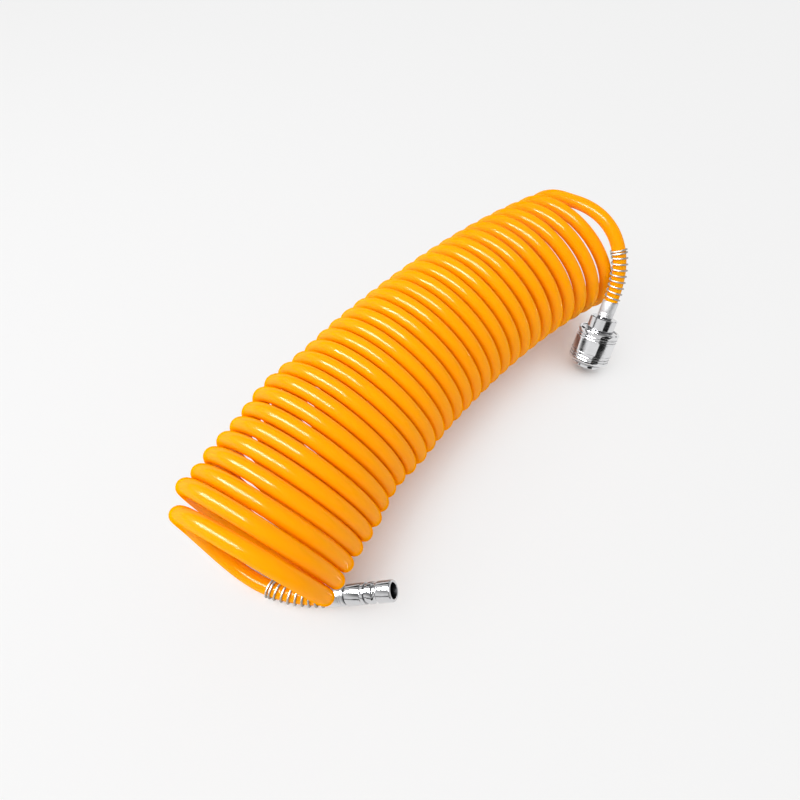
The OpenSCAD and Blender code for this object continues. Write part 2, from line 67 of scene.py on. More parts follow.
def makeCamera():
    data = bpy.data.cameras.new("Camera")
    data.lens = camera["focal"]
    data.sensor_width = 36
    data.clip_start = 5 * mm
    eye = bpy.data.objects.new("Camera", data)
    bpy.context.scene.collection.objects.link(eye)
    eye.location = Vector((camera["back"], camera["side"], camera["height"])) * mm
    eye.rotation_euler = (math.radians(camera["tilt"]), 0, math.radians(camera["turn"]))
    bpy.context.scene.camera = eye


makeCamera()
print("camera made")


# small tools: one node with its values, the kinds of node used most, a link, a named material,
# a bmesh made an object
def node(tree, kind, place=(0, 0), **values):
    # a value goes to the node's own setting of that name, or else to its socket
    made = tree.nodes.new(kind)
    made.location = place
    for key, value in values.items():
        if hasattr(made, key):
            setattr(made, key, value)
        else:
            made.inputs[key].default_value = value
    return made


def link(tree, source, output, target, socket):
    tree.links.new(source.outputs[output], target.inputs[socket])


def rangeNode(tree, place, given, wanted, kind="LINEAR"):
    made = node(tree, "ShaderNodeMapRange", place, interpolation_type=kind)
    for key, value in zip(("From Min", "From Max", "To Min", "To Max"), (*given, *wanted)):
        made.inputs[key].default_value = value
    return made


def rampNode(tree, place, stops, low, high):
    made = node(tree, "ShaderNodeValToRGB", place)
    for i, colour in enumerate((low, high)):
        made.color_ramp.elements[i].position = stops[i]
        made.color_ramp.elements[i].color = (*colour, 1)
    return made


def mathNode(tree, operation, first, second, place):
    # each of the two is a number, an output, or None
    made = node(tree, "ShaderNodeMath", place, operation=operation)
    for i, value in enumerate((first, second)):
        if isinstance(value, (int, float)):
            made.inputs[i].default_value = value
        elif value is not None:
            tree.links.new(value, made.inputs[i])
    return made.outputs[0]


def mixNode(tree, place, share, first, second):
    made = node(tree, "ShaderNodeMixShader", place)
    tree.links.new(share, made.inputs[0])
    link(tree, first, 0, made, 1)
    link(tree, second, 0, made, 2)
    return made


def newMaterial(name):
    material = bpy.data.materials.new(name)
    material.use_nodes = True
    tree = material.node_tree
    return material, tree, tree.nodes["Principled BSDF"]


def grey(level):
    return (level, level, level)


def finishMesh(shape, name, material, smoothAngle=35):
    mesh = bpy.data.meshes.new(name)
    shape.to_mesh(mesh)
    shape.free()
    piece = bpy.data.objects.new(name, mesh)
    bpy.context.scene.collection.objects.link(piece)
    mesh.materials.append(material)
    mesh.shade_smooth()
    mesh.set_sharp_from_angle(angle=math.radians(smoothAngle))
    return piece


def tubeMesh(points, radius, corners):
    # a round tube along the points, as a bmesh with closed ends
    data = bpy.data.curves.new("tube", "CURVE")
    data.dimensions = "3D"
    data.twist_mode = "MINIMUM"
    data.bevel_depth = radius
    data.bevel_resolution = (corners - 4) // 2
    data.use_fill_caps = True
    spline = data.splines.new("POLY")
    spline.points.add(len(points) - 1)
    spline.points.foreach_set("co", [c for p in points for c in (p.x, p.y, p.z, 1)])
    holder = bpy.data.objects.new("tube", data)
    bpy.context.scene.collection.objects.link(holder)
    ready = holder.evaluated_get(bpy.context.evaluated_depsgraph_get())
    mesh = bpy.data.meshes.new_from_object(ready)
    shape = bmesh.new()
    shape.from_mesh(mesh)
    bpy.data.objects.remove(holder)
    bpy.data.meshes.remove(mesh)
    bmesh.ops.remove_doubles(shape, verts=shape.verts, dist=tiny)
    bmesh.ops.recalc_face_normals(shape, faces=shape.faces)
    return shape


# the hose follows the same curve as the CAD coil and tails; lengths in mm, angles in degrees
hose = {
    "diameter": 8.0,
    "coilOuter": 89.6,
    "turns": 30,
    "turnGap": 1.15,
    "firstLean": 8.0,
    "leanGrowth": 6.0,
    "footDepth": 0.8,
    "farSpread": 27.0,
    "nearSqueeze": 1.9,
    "nearSqueezeTurns": 0.7,
    "firstTuck": 2.5,
    "lift": 7.21,  # the first turn lies on the plug's spring guard
    "liftMiddle": 1.769,
    "liftReach": 0.557,
    "axisStart": (-147.218, -0.375),
    "axisHeading": (26, -95, 129, -79),
    "turnFacing": (9.5, -15, -31, 22),
    "sway": 1.5,
    "swayMiddle": 8.5,
    "swayZero": 7.4,
    "swayTurns": 6.4,
    "swayReach": 4.0,
    "firstTurn": 16.5 / 16,  # the coil starts and ends at these turns
    "lastTurn": 30 + 3.5 / 16,
    "plugLead": 0.713,  # shares of the turns' radius
    "plugBend": ((0.092, -0.625), (0.048, -0.866)),
    "plugBendHeights": (-6.7, 12.2),
    "plugLag": 0.5,
    "socketLead": 0.8,
    "socketLag": 0.722,
    "inFerrule": 9.4,  # how far the tube goes into a ferrule
    "stepsPerTurn": 64,
    "tailSteps": 72,
    "sides": 20,
}
# the fittings' lengths in mm, and how far behind its nose each one's mount has its point
plug = {"length": 25.0, "noseMount": 4.1, "ferrule": 11.0}
socket = {"length": 34.0, "boreMount": 5.05, "ferrule": 11.0}


def cubic(c, v):
    return c[0] + v * (c[1] + v * (c[2] + v * c[3]))


def station(u):
    # how far along the coil's axis turn u is
    spread = hose["farSpread"] * (u / hose["turns"]) ** 4
    squeeze = hose["nearSqueeze"] * math.exp(-(u - 1) / hose["nearSqueezeTurns"])
    return (hose["diameter"] + hose["turnGap"]) * u + spread - squeeze


def swayAt(u):
    # how far turn u stands to the side of the axis
    wave = math.sin(math.radians(360 * (u - hose["swayZero"]) / hose["swayTurns"]))
    return hose["sway"] * wave * math.exp(-(((u - hose["swayMiddle"]) / hose["swayReach"]) ** 2))


def coilPoints():
    steps = round((hose["lastTurn"] - hose["firstTurn"]) * hose["stepsPerTurn"])
    axis = Vector((*hose["axisStart"], 0))
    points = []
    for i in range(steps + 1):
        u = hose["firstTurn"] + i / hose["stepsPerTurn"]
        if i:
            before = u - 1 / hose["stepsPerTurn"]
            way = math.radians(cubic(hose["axisHeading"], (u + before) / 2 / hose["turns"]))
            axis = axis + (station(u) - station(before)) * Vector((math.cos(way), math.sin(way), 0))
        v = u / hose["turns"]
        face = math.radians(cubic(hose["turnFacing"], v))
        lean = math.radians(hose["firstLean"] + hose["leanGrowth"] * v)
        across = Vector((math.cos(face), math.sin(face), 0))
        sideways = Vector((-across.y, across.x, 0))
        rise = Vector((0, 0, math.cos(lean))) - across * math.sin(lean)
        radius = (hose["coilOuter"] - hose["diameter"]) / 2 - hose["firstTuck"] * math.exp(-(u - 1))
        lift = hose["lift"] * math.exp(-(((u - hose["liftMiddle"]) / hose["liftReach"]) ** 2))
        height = hose["diameter"] / 2 - hose["footDepth"] + lift + radius * math.cos(lean)
        centre = axis + sideways * swayAt(u) + Vector((0, 0, height))
        turn = 2 * math.pi * u
        points.append(centre + (sideways * math.cos(turn) + rise * math.sin(turn)) * radius)
    return points


def blendPoints(control, t):
    while len(control) > 1:
        control = [a.lerp(b, t) for a, b in zip(control, control[1:])]
    return control[0]


def mouthOf(mount, beyond):
    # where the hose enters a ferrule, and the way the fitting points
    way = Vector(mounts[mount]["axis"]).normalized()
    return Vector(mounts[mount]["pos_m"]) / mm - way * beyond, way


def hoseRoute():
    coil = coilPoints()
    radius = (hose["coilOuter"] - hose["diameter"]) / 2
    nearWay = (coil[0] - coil[1]).normalized()
    farWay = (coil[-1] - coil[-2]).normalized()
    nearEnd = coil[0] + nearWay * hose["diameter"]
    farEnd = coil[-1] + farWay * hose["diameter"]
    plugMouth, plugWay = mouthOf("plug_nose", plug["length"] + plug["ferrule"] - plug["noseMount"])
    beyond = socket["length"] + socket["ferrule"] - socket["boreMount"]
    socketMouth, socketWay = mouthOf("socket_bore", beyond)
    plugCurve = [nearEnd, nearEnd + nearWay * radius * hose["plugLead"]]
    for (x, y), height in zip(hose["plugBend"], hose["plugBendHeights"]):
        plugCurve.append(Vector((nearEnd.x + radius * x, nearEnd.y + radius * y, height)))
    plugCurve += [plugMouth - plugWay * radius * hose["plugLag"], plugMouth]
    socketCurve = [farEnd, farEnd + farWay * radius * hose["socketLead"]]
    socketCurve += [socketMouth - socketWay * radius * hose["socketLag"], socketMouth]
    return coil, plugCurve, socketCurve, plugWay, socketWay


coilLine, plugCurve, socketCurve, plugWay, socketWay = hoseRoute()


def hoseLine():
    # one line, in metres, from inside the plug's ferrule to inside the socket's
    steps = hose["tailSteps"]
    inside = hose["inFerrule"]
    start = [plugCurve[-1] + plugWay * inside, plugCurve[-1] + plugWay * inside / 2]
    near = [blendPoints(plugCurve, 1 - i / steps) for i in range(steps)]
    far = [blendPoints(socketCurve, i / steps) for i in range(1, steps + 1)]
    end = [socketCurve[-1] + socketWay * inside / 2, socketCurve[-1] + socketWay * inside]
    line = start + near + [plugCurve[0]] + coilLine + [socketCurve[0]] + far + end
    return [p * mm for p in line]


# clear yellow-orange polyurethane: even colour, soft gloss, slightly wavy skin; lengths in metres
tubing = {
    "deep": (1.0, 0.335, 0.0),
    "light": (1.0, 0.38, 0.0),
    "cloudStops": (0.3, 0.72),
    "cloudScale": 9.0,
    "waveScale": 70.0,
    "waveStrength": 0.5,
    "waveHeight": 0.0003,
    "grainScale": 900.0,
    "grainStrength": 0.05,
    "grainHeight": 0.0001,
    "roughness": (0.13, 0.2),
    "ior": 1.3,
    "shine": 0.22,
    "gapReach": 0.004,
    "gap": (0.45, 0.85),  # how open a spot is where the gloss starts, and where it is whole
    "rim": (0.35, 0.8),  # how far edge on the gloss starts to fade, and ends
    "glow": 0.14,  # light carried inside the wall
    "glowReach": (0.004, 0.0016, 0.0003),
}


def hoseMaterial():
    material, tree, shader = newMaterial("hoseOrange")
    place = node(tree, "ShaderNodeTexCoord", (-1100, 0))
    noise = "ShaderNodeTexNoise"
    cloud = node(tree, noise, (-850, 200), Scale=tubing["cloudScale"], Detail=2.0)
    wave = node(tree, noise, (-850, -150), Scale=tubing["waveScale"], Detail=1.0)
    grain = node(tree, noise, (-850, -400), Scale=tubing["grainScale"], Detail=3.0)
    for pattern in (cloud, wave, grain):
        link(tree, place, "Object", pattern, "Vector")
    tint = rampNode(tree, (-600, 250), tubing["cloudStops"], tubing["deep"], tubing["light"])
    link(tree, cloud, "Fac", tint, "Fac")
    link(tree, tint, "Color", shader, "Base Color")
    gloss = rangeNode(tree, (-600, -100), (0, 1), tubing["roughness"])
    link(tree, grain, "Fac", gloss, "Value")
    link(tree, gloss, "Result", shader, "Roughness")
    waves = node(tree, "ShaderNodeBump", (-350, -200))
    waves.inputs["Strength"].default_value = tubing["waveStrength"]
    waves.inputs["Distance"].default_value = tubing["waveHeight"]
    fine = node(tree, "ShaderNodeBump", (-150, -300))
    fine.inputs["Strength"].default_value = tubing["grainStrength"]
    fine.inputs["Distance"].default_value = tubing["grainHeight"]
    link(tree, wave, "Fac", waves, "Height")
    link(tree, grain, "Fac", fine, "Height")
    link(tree, waves, "Normal", fine, "Normal")
    link(tree, fine, "Normal", shader, "Normal")
    # the gloss fades down in the gaps between the turns and where the skin is seen edge on
    gap = node(tree, "ShaderNodeAmbientOcclusion", (-850, -650), samples=8)
    gap.inputs["Distance"].default_value = tubing["gapReach"]
    edge = node(tree, "ShaderNodeLayerWeight", (-850, -850), Blend=0.5)
    shine = tubing["shine"]
    opened = rangeNode(tree, (-600, -650), tubing["gap"], (0, shine), "SMOOTHSTEP")
    fronted = rangeNode(tree, (-600, -900), tubing["rim"], (1, 0), "SMOOTHSTEP")
    link(tree, gap, "AO", opened, "Value")
    link(tree, edge, "Facing", fronted, "Value")
    faded = mathNode(
        tree, "MULTIPLY", opened.outputs["Result"], fronted.outputs["Result"], (-350, -700)
    )
    shader.inputs["Specular IOR Level"].default_value = shine  # what an export keeps
    tree.links.new(faded, shader.inputs["Specular IOR Level"])
    shader.inputs["IOR"].default_value = tubing["ior"]
    shader.inputs["Subsurface Weight"].default_value = tubing["glow"]
    shader.inputs["Subsurface Radius"].default_value = tubing["glowReach"]
    shader.inputs["Subsurface Scale"].default_value = 1.0
    return material


def makeHose():
    line = hoseLine()
    shape = tubeMesh(line, hose["diameter"] / 2 * mm, hose["sides"])
    for v in shape.verts:
        if v.co.z < 0:
            v.co.z = 0  # the turns are flat where they rest
    piece = finishMesh(shape, "hose", hoseMaterial())
    piece.visible_glossy = False  # polished metal shows the plain room, not the hose
    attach(piece, "root")
    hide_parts("hose_coil", "hose_tail_plug", "hose_tail_socket")
    return piece, line


hosePiece, hoseCentres = makeHose()
print("hose made")


# open wire springs over the hose's ends, wound close at their far ends
guard = {
    "wire": 1.0,
    "clear": 0.15,
    "openTurns": 8,
    "pitch": 3.6,
    "closedTurns": 2,
    "closedPitch": 1.7,
    "lineSteps": 400,
    "stepsPerTurn": 32,
    "sides": 10,
}


def guardPoints(curve):
    steps = guard["lineSteps"]
    line = [blendPoints(curve, 1 - i / steps) for i in range(steps + 1)]
    reach = [0.0]
    for a, b in zip(line, line[1:]):
        reach.append(reach[-1] + (b - a).length)
    radius = hose["diameter"] / 2 + guard["clear"] + guard["wire"] / 2
    turns = guard["openTurns"] + guard["closedTurns"]
    points = []
    at = 0
    for i in range(turns * guard["stepsPerTurn"] + 1):
        a = i / guard["stepsPerTurn"]
        opened = min(a, guard["openTurns"])
        s = guard["wire"] + opened * guard["pitch"] + (a - opened) * guard["closedPitch"]
        while at < steps - 1 and reach[at + 1] < s:
            at += 1
        t = (s - reach[at]) / (reach[at + 1] - reach[at])
        middle = line[at].lerp(line[at + 1], t)
        way = (line[at] - line[at + 1]).normalized()
        side = (Vector((1, 0, 0)) - way * way.x).normalized()
        other = way.cross(side)
        turn = 2 * math.pi * a
        points.append(middle + (side * math.cos(turn) + other * math.sin(turn)) * radius)
    lead = points[0] + (line[0] - line[1]).normalized() * guard["wire"]
    return [p * mm for p in [lead] + points]


# bright metals: colour, least roughness, how much rougher the marks are, scale of the marks,
# and the dark colour painted into grooves and corners as painted shade
metals = {
    "guardWire": ((0.45, 0.43, 0.39), 0.42, 0.12, 900.0, None),
    "plugChrome": ((0.66, 0.66, 0.67), 0.12, 0.08, 700.0, (0.05, 0.05, 0.055)),
    "sleeveChrome": ((0.8, 0.8, 0.81), 0.08, 0.08, 700.0, (0.04, 0.04, 0.045)),
    "bodyChrome": ((0.74, 0.74, 0.75), 0.09, 0.08, 700.0, (0.05, 0.05, 0.055)),
    "ferrule": ((0.72, 0.72, 0.73), 0.34, 0.14, 1400.0, (0.08, 0.08, 0.085)),
    # painted shade: near-black steel stands in for the shade deep in the plug's bore
    "boreShadeSteel": ((0.06, 0.06, 0.065), 0.35, 0.15, 900.0, None),
    "snapSteel": ((0.5, 0.5, 0.51), 0.25, 0.15, 900.0, None),
    "springSteel": ((0.5, 0.5, 0.5), 0.25, 0.1, 900.0, None),
    "ballSteel": ((0.82, 0.82, 0.84), 0.04, 0.04, 900.0, None),
    "valveSteel": ((0.62, 0.61, 0.58), 0.25, 0.12, 900.0, None),
}
# the handling marks that all of them carry, and the reach and stops of the painted shade
# in grooves and corners; lengths in metres
marking = {
    "range": (0.3, 0.7),  # the part of the noise that shows
    "strength": 0.04,
    "height": 0.0001,
    "drawn": (0.02, 0.02, 1.0),  # drawn out across the axis, the marks are lathe lines round it
    "cornerReach": 0.0012,
    "cornerStops": (0.42, 0.8),
}


def metalMaterial(name, finish, lathe=None):
    # lathe is the axis that the marks run round
    colour, roughness, rougher, scale, grooveShade = metals[finish]
    material, tree, shader = newMaterial(name)
    place = node(tree, "ShaderNodeTexCoord", (-1300, 0))
    marks = node(tree, "ShaderNodeTexNoise", (-700, 0), Scale=scale, Detail=4.0)
    if lathe is None:
        link(tree, place, "Object", marks, "Vector")
    else:
        turned = node(tree, "ShaderNodeMapping", (-1100, 0), vector_type="TEXTURE")
        turned.inputs["Rotation"].default_value = lathe.to_track_quat("Z", "Y").to_euler()
        thin = node(tree, "ShaderNodeMapping", (-920, 0), Scale=marking["drawn"])
        link(tree, place, "Object", turned, "Vector")
        link(tree, turned, "Vector", thin, "Vector")
        link(tree, thin, "Vector", marks, "Vector")
    gloss = rangeNode(tree, (-450, -80), marking["range"], (roughness, roughness + rougher))
    link(tree, marks, "Fac", gloss, "Value")
    link(tree, gloss, "Result", shader, "Roughness")
    bump = node(tree, "ShaderNodeBump", (-450, -300), Strength=marking["strength"])
    bump.inputs["Distance"].default_value = marking["height"]
    link(tree, marks, "Fac", bump, "Height")
    link(tree, bump, "Normal", shader, "Normal")
    shader.inputs["Base Color"].default_value = (*colour, 1)
    shader.inputs["Metallic"].default_value = 1.0
    # painted shade: an ambient occlusion mask darkens the colour in grooves and corners
    if grooveShade is not None:
        shade = node(tree, "ShaderNodeAmbientOcclusion", (-700, 400), samples=8)
        shade.inputs["Distance"].default_value = marking["cornerReach"]
        tint = rampNode(tree, (-450, 400), marking["cornerStops"], grooveShade, colour)
        link(tree, shade, "AO", tint, "Fac")
        link(tree, tint, "Color", shader, "Base Color")
    return material


def makeGuard(name, curve):
    shape = tubeMesh(guardPoints(curve), guard["wire"] / 2 * mm, guard["sides"])
    material = metalMaterial(name + "Wire", "guardWire")
    piece = finishMesh(shape, name, material)
    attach(piece, "root")
    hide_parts("spring_guard_" + name.replace("Guard", ""))
    return piece


plugGuard = makeGuard("plugGuard", plugCurve)
socketGuard = makeGuard("socketGuard", socketCurve)
print("guards made")


# turned pieces: a profile of radius and height in mm, from the fitting's nose towards the hose
turning = {
    "steps": 96,
    "edge": 0.1,  # rounding of the corners
    "sharp": 28.0,  # degrees, the least corner that is rounded
    "smooth": 20.0,  # degrees, the least corner that is shaded sharp
}
plugShape = {
    "radius": 5.2,
    "noseEdge": 0.6,
    "bore": 3.75,
    "boreSkin": 0.06,  # faces this close to the bore take its painted shade
    "boreDeep": 14.0,
    "boreCone": 2.0,
    "flow": 1.9,
    "lockFrom": 7.6,
    "lockSlope": 0.8,
    "lockFloor": 1.2,
    "lockDepth": 0.8,
    "ringFrom": 12.6,
    "ringWide": 2.0,
    "ringDepth": 0.7,
    "barrelFrom": 16.2,
    "barrelEdge": 0.4,
    "lineDepth": 0.12,  # a fine line where the barrel starts
    "lineSlope": 0.12,
    "lineWide": 0.4,
    "neck": 4.2,
    "neckLong": 0.6,
    "stem": 2.5,
    "stemShort": 0.6,  # from the stem's end to the ferrule's mouth
}
sleeveShape = {
    "radius": 13.0,
    "front": 4.0,
    "end": 26.0,
    "rim": 0.8,
    "grooves": (6.4, 8.2, 20.2, 22.0),
    "grooveWide": 1.4,
    "grooveDepth": 0.6,
    "band": (10.6, 19.2),
    "facets": 12,
    "facetDepth": 0.5,
    "facetClear": 0.05,  # points this near the full radius aren't part of the flats
    "crown": 0.5,  # how far the flats bulge back towards round
    "land": 8.55,
    "rampTo": 11.72,
    "rampFrom": 5.2,
    "rampRadius": 9.94,
    "seat": 14.5,
    "chamber": 11.05,
}
ferruleShape = {
    "radius": 4.9,
    "inner": 4.03,
    "foot": 0.6,
    "floor": 0.8,
    "stem": 2.53,
    "edge": 0.4,
    "rounding": 0.05,
    "crimps": (2.2, 3.4),
    "crimpWide": 0.5,
    "crimpDepth": 0.15,
}
snapShape = {"inner": 7.73, "outer": 9.4, "from": 2.23, "to": 3.97, "split": 2.4}


def fittingPlace(mount, fromNose):
    # a fitting's own frame: z runs from its nose towards the hose
    way = Vector(mounts[mount]["axis"]).normalized()
    nose = Vector(mounts[mount]["pos_m"]) + way * fromNose * mm
    flat = Vector((way.x, way.y, 0))
    across = flat.normalized() * way.z - Vector((0, 0, flat.length))
    place = Matrix((across, (-way).cross(across), -way)).transposed().to_4x4()
    place.translation = nose
    return place


plugPlace = fittingPlace("plug_nose", plug["noseMount"])
socketPlace = fittingPlace("socket_bore", socket["boreMount"])


def spunShape(profile, split=0):
    # the closed profile spun round the local z axis, all the way or with an angle left open
    shape = bmesh.new()
    corners = [shape.verts.new((r * mm, 0, z * mm)) for r, z in profile]
    outline = [shape.edges.new((a, b)) for a, b in zip(corners, corners[1:] + corners[:1])]
    start = corners + outline
    if split:
        start.append(shape.faces.new(corners))  # the spin carries it round and closes both ends
    bmesh.ops.spin(
        shape,
        geom=start,
        cent=(0, 0, 0),
        axis=(0, 0, 1),
        dvec=(0, 0, 0),
        angle=2 * math.pi - split,
        steps=turning["steps"],
        use_merge=not split,
        use_duplicate=False,
    )
    bmesh.ops.remove_doubles(shape, verts=shape.verts, dist=tiny)
    bmesh.ops.recalc_face_normals(shape, faces=shape.faces)
    return shape


def roundCorners(shape, offset, keepOut=lambda edge: False):
    limit = math.radians(turning["sharp"])
    chosen = [
        e
        for e in shape.edges
        if len(e.link_faces) == 2 and e.calc_face_angle() > limit and not keepOut(e)
    ]
    bmesh.ops.bevel(
        shape,
        geom=chosen,
        offset=offset * mm,
        offset_type="OFFSET",
        segments=2,
        profile=0.5,
        affect="EDGES",
        material=-1,
        clamp_overlap=True,
    )


def placed(shape, place, name, material, body, slotName, *nodes, bore=None):
    # a shape made in its fitting's own frame goes to its place and becomes a piece
    if bore is not None:
        # the inside of the bore is painted near-black, a painted shade in the deep hole
        finish, radius = bore
        for face in shape.faces:
            middle = face.calc_center_median()
            if math.hypot(middle.x, middle.y) < radius * mm:
                face.material_index = 1
    bmesh.ops.transform(shape, matrix=place, verts=shape.verts)
    piece = finishMesh(shape, name, material, turning["smooth"])
    if bore is not None:
        piece.data.materials.append(finish)
    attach(piece, body)
    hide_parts(*nodes)
    return piece


def plugProfile():
    p = plugShape
    full = p["radius"]
    low = full - p["lockDepth"]
    lockTo = p["lockFrom"] + 2 * p["lockSlope"] + p["lockFloor"]
    ring = full - p["ringDepth"]
    ringTo = p["ringFrom"] + p["ringWide"]
    line = full - p["lineDepth"]
    lineTo = p["barrelFrom"] + p["lineWide"]
    neckTo = plug["length"] + p["neckLong"]
    stemTo = plug["length"] + plug["ferrule"] - p["stemShort"]
    nose = p["noseEdge"]
    arc = nose * 0.3  # how far the middle of its edge is from the corner
    return [
        (p["bore"] + nose / 2, 0),
        (full - nose, 0),
        (full - arc, arc),
        (full, nose),
        (full, p["lockFrom"]),
        (low, p["lockFrom"] + p["lockSlope"]),
        (low, lockTo - p["lockSlope"]),
        (full, lockTo),
        (full, p["ringFrom"]),
        (ring, p["ringFrom"]),
        (ring, ringTo),
        (full, ringTo),
        (full, p["barrelFrom"]),
        (line, p["barrelFrom"] + p["lineSlope"]),
        (line, lineTo - p["lineSlope"]),
        (full, lineTo),
        (full, plug["length"] - p["barrelEdge"]),
        (full - p["barrelEdge"], plug["length"]),
        (p["neck"], plug["length"]),
        (p["neck"], neckTo),
        (p["stem"], neckTo),
        (p["stem"], stemTo),
        (p["flow"], stemTo),
        (p["flow"], p["boreDeep"] + p["boreCone"]),
        (p["bore"], p["boreDeep"]),
        (p["bore"], nose / 2),
    ]


def ferruleProfile():
    f = ferruleShape
    end = plug["ferrule"]
    full = f["radius"]
    low = full - f["crimpDepth"]
    wide = f["crimpWide"]
    slope = wide / 4
    seat = f["foot"] + f["floor"]
    outline = [(f["stem"], f["foot"]), (full - f["edge"], f["foot"]), (full, f["foot"] + f["edge"])]
    for z in f["crimps"]:
        outline += [(full, z), (low, z + slope), (low, z + wide - slope), (full, z + wide)]
    outline += [(full, end - f["edge"]), (full - f["edge"] / 2, end), (f["inner"], end)]
    return outline + [(f["inner"], seat), (f["stem"], seat)]


def sleeveProfile():
    s = sleeveShape
    full = s["radius"]
    deep = full - s["grooveDepth"]
    corner = (full - s["facetDepth"]) / math.cos(math.pi / s["facets"])
    # every step down from the full radius: how far out it is, where it starts and ends
    lower = [(deep, z, z + s["grooveWide"]) for z in s["grooves"]] + [(corner, *s["band"])]
    outline = [(s["land"], s["front"]), (full - s["rim"], s["front"])]
    outline.append((full, s["front"] + s["rim"]))
    for radius, first, last in sorted(lower, key=lambda step: step[1]):
        outline += [(full, first), (radius, first), (radius, last), (full, last)]
    outline += [(full, s["end"] - s["rim"]), (full - s["rim"], s["end"])]
    outline += [(s["chamber"], s["end"]), (s["chamber"], s["seat"]), (s["land"], s["seat"])]
    outline += [(s["land"], s["rampTo"]), (s["rampRadius"], s["rampFrom"])]
    return outline + [(s["land"], s["rampFrom"])]


def flattenBand(shape):
    # the round band becomes a ring of slightly crowned flats
    s = sleeveShape
    low, high = (z * mm for z in s["band"])
    part = 2 * math.pi / s["facets"]
    reach = (s["radius"] - s["facetDepth"]) * mm
    corner = reach / math.cos(part / 2)
    full = (s["radius"] - s["facetClear"]) * mm
    for v in shape.verts:
        radius = math.hypot(v.co.x, v.co.y)
        if low - tiny < v.co.z < high + tiny and reach < radius < full:
            angle = math.atan2(v.co.y, v.co.x)
            flat = reach / math.cos(angle - part * round(angle / part))
            v.co.xy = v.co.xy * ((flat + (corner - flat) * s["crown"]) / radius)


def makePlug():
    shape = spunShape(plugProfile())
    roundCorners(shape, turning["edge"])
    finish = metalMaterial("plugChrome", "plugChrome", plugWay)
    # the bore's inside gets a near-black painted shade
    boreShade = metalMaterial("boreShadeSteel", "boreShadeSteel")
    return placed(
        shape,
        plugPlace,
        "plugTurned",
        finish,
        "root",
        "plug_chrome",
        "plug_body",
        bore=(boreShade, plugShape["bore"] + plugShape["boreSkin"]),
    )


def makeFerrule(name, place, start, way):
    shape = spunShape(ferruleProfile())
    roundCorners(shape, ferruleShape["rounding"])
    seat = place @ Matrix.Translation((0, 0, start * mm))
    finish = metalMaterial(name + "Ferrule", "ferrule", way)
    return placed(
        shape, seat, name + "Ferrule", finish, "root", "ferrule_metal", "ferrule_" + name
    )


def makeSleeve():
    shape = spunShape(sleeveProfile())
    flattenBand(shape)
    ends = [z * mm for z in sleeveShape["band"]]
    close = 0.01 * mm

    def besideFlats(edge):
        return any(abs(v.co.z - end) < close for v in edge.verts for end in ends)

    roundCorners(shape, turning["edge"], besideFlats)
    finish = metalMaterial("sleeveChrome", "sleeveChrome", socketWay)
    placed(shape, socketPlace, "sleeveTurned", finish, "sleeve", "sleeve_chrome", "sleeve")


def makeSnapRing():
    s = snapShape
    gap = math.asin(s["split"] / 2 / s["outer"])
    low, high = s["from"], s["to"]
    corners = [(s["inner"], low), (s["outer"], low), (s["outer"], high), (s["inner"], high)]
    shape = spunShape(corners, 2 * gap)
    roundCorners(shape, turning["edge"])
    bmesh.ops.rotate(
        shape,
        cent=(0, 0, 0),
        matrix=Matrix.Rotation(math.pi / 2 + gap, 3, "Z"),
        verts=shape.verts,
    )
    finish = metalMaterial("snapSteel", "snapSteel")
    placed(shape, socketPlace, "snapRing", finish, "root", "spring_steel", "snap_ring")


plugPiece = makePlug()
ferrules = [
    makeFerrule("plug", plugPlace, plug["length"], plugWay),
    makeFerrule("socket", socketPlace, socket["length"], socketWay),
]
makeSleeve()
makeSnapRing()
print("fittings made")


# springs inside the socket; keep is the share of the length left when its joint is at its limit
springs = {
    "sleeve": {"radius": 9.775, "wire": 1.0, "from": 14.5, "to": 23.5, "turns": 4, "keep": 0.611},
    "valve": {"radius": 4.0, "wire": 0.7, "from": 24.5, "to": 31.0, "turns": 4, "keep": 0.538},
}


def makeSpring(name, nodeName, body):
    s = springs[name]
    steps, sides = 32, 8
    rise = (s["to"] - s["from"] - 2 * s["wire"]) / s["turns"]
    points = [Vector((s["radius"], 0, s["from"] + s["wire"] / 2))]
    for i in range(s["turns"] * steps + 1):
        a = 2 * math.pi * i / steps
        z = s["from"] + s["wire"] + i / steps * rise
        points.append(Vector((s["radius"] * math.cos(a), s["radius"] * math.sin(a), z)))
    points.append(Vector((s["radius"], 0, s["to"] - s["wire"] / 2)))
    shape = tubeMesh([p * mm for p in points], s["wire"] / 2 * mm, sides)
    finish = metalMaterial(name + "SpringSteel", "springSteel")
    piece = placed(shape, socketPlace, name + "Spring", finish, body, "spring_steel", nodeName)
    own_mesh(piece)


makeSpring("sleeve", "sleeve_spring", "sleeve_carriage")
makeSpring("valve", "valve_spring", "root")
print("springs made")


# black rubber of the seals; lengths in metres
rubber = {
    "colour": (0.02, 0.02, 0.022),
    "roughness": (0.45, 0.65),
    "grainScale": 1500.0,
    "grainStrength": 0.1,
    "grainHeight": 0.0001,
}


def rubberMaterial():
    material, tree, shader = newMaterial("sealRubber")
    place = node(tree, "ShaderNodeTexCoord", (-900, 0))
    grain = node(tree, "ShaderNodeTexNoise", (-650, 0), Scale=rubber["grainScale"], Detail=3.0)
    bump = node(tree, "ShaderNodeBump", (-350, -200), Strength=rubber["grainStrength"])
    bump.inputs["Distance"].default_value = rubber["grainHeight"]
    gloss = rangeNode(tree, (-400, 0), (0, 1), rubber["roughness"])
    link(tree, place, "Object", grain, "Vector")
    link(tree, grain, "Fac", bump, "Height")
    link(tree, grain, "Fac", gloss, "Value")
    link(tree, gloss, "Result", shader, "Roughness")
    link(tree, bump, "Normal", shader, "Normal")
    shader.inputs["Base Color"].default_value = (*rubber["colour"], 1)
    return material


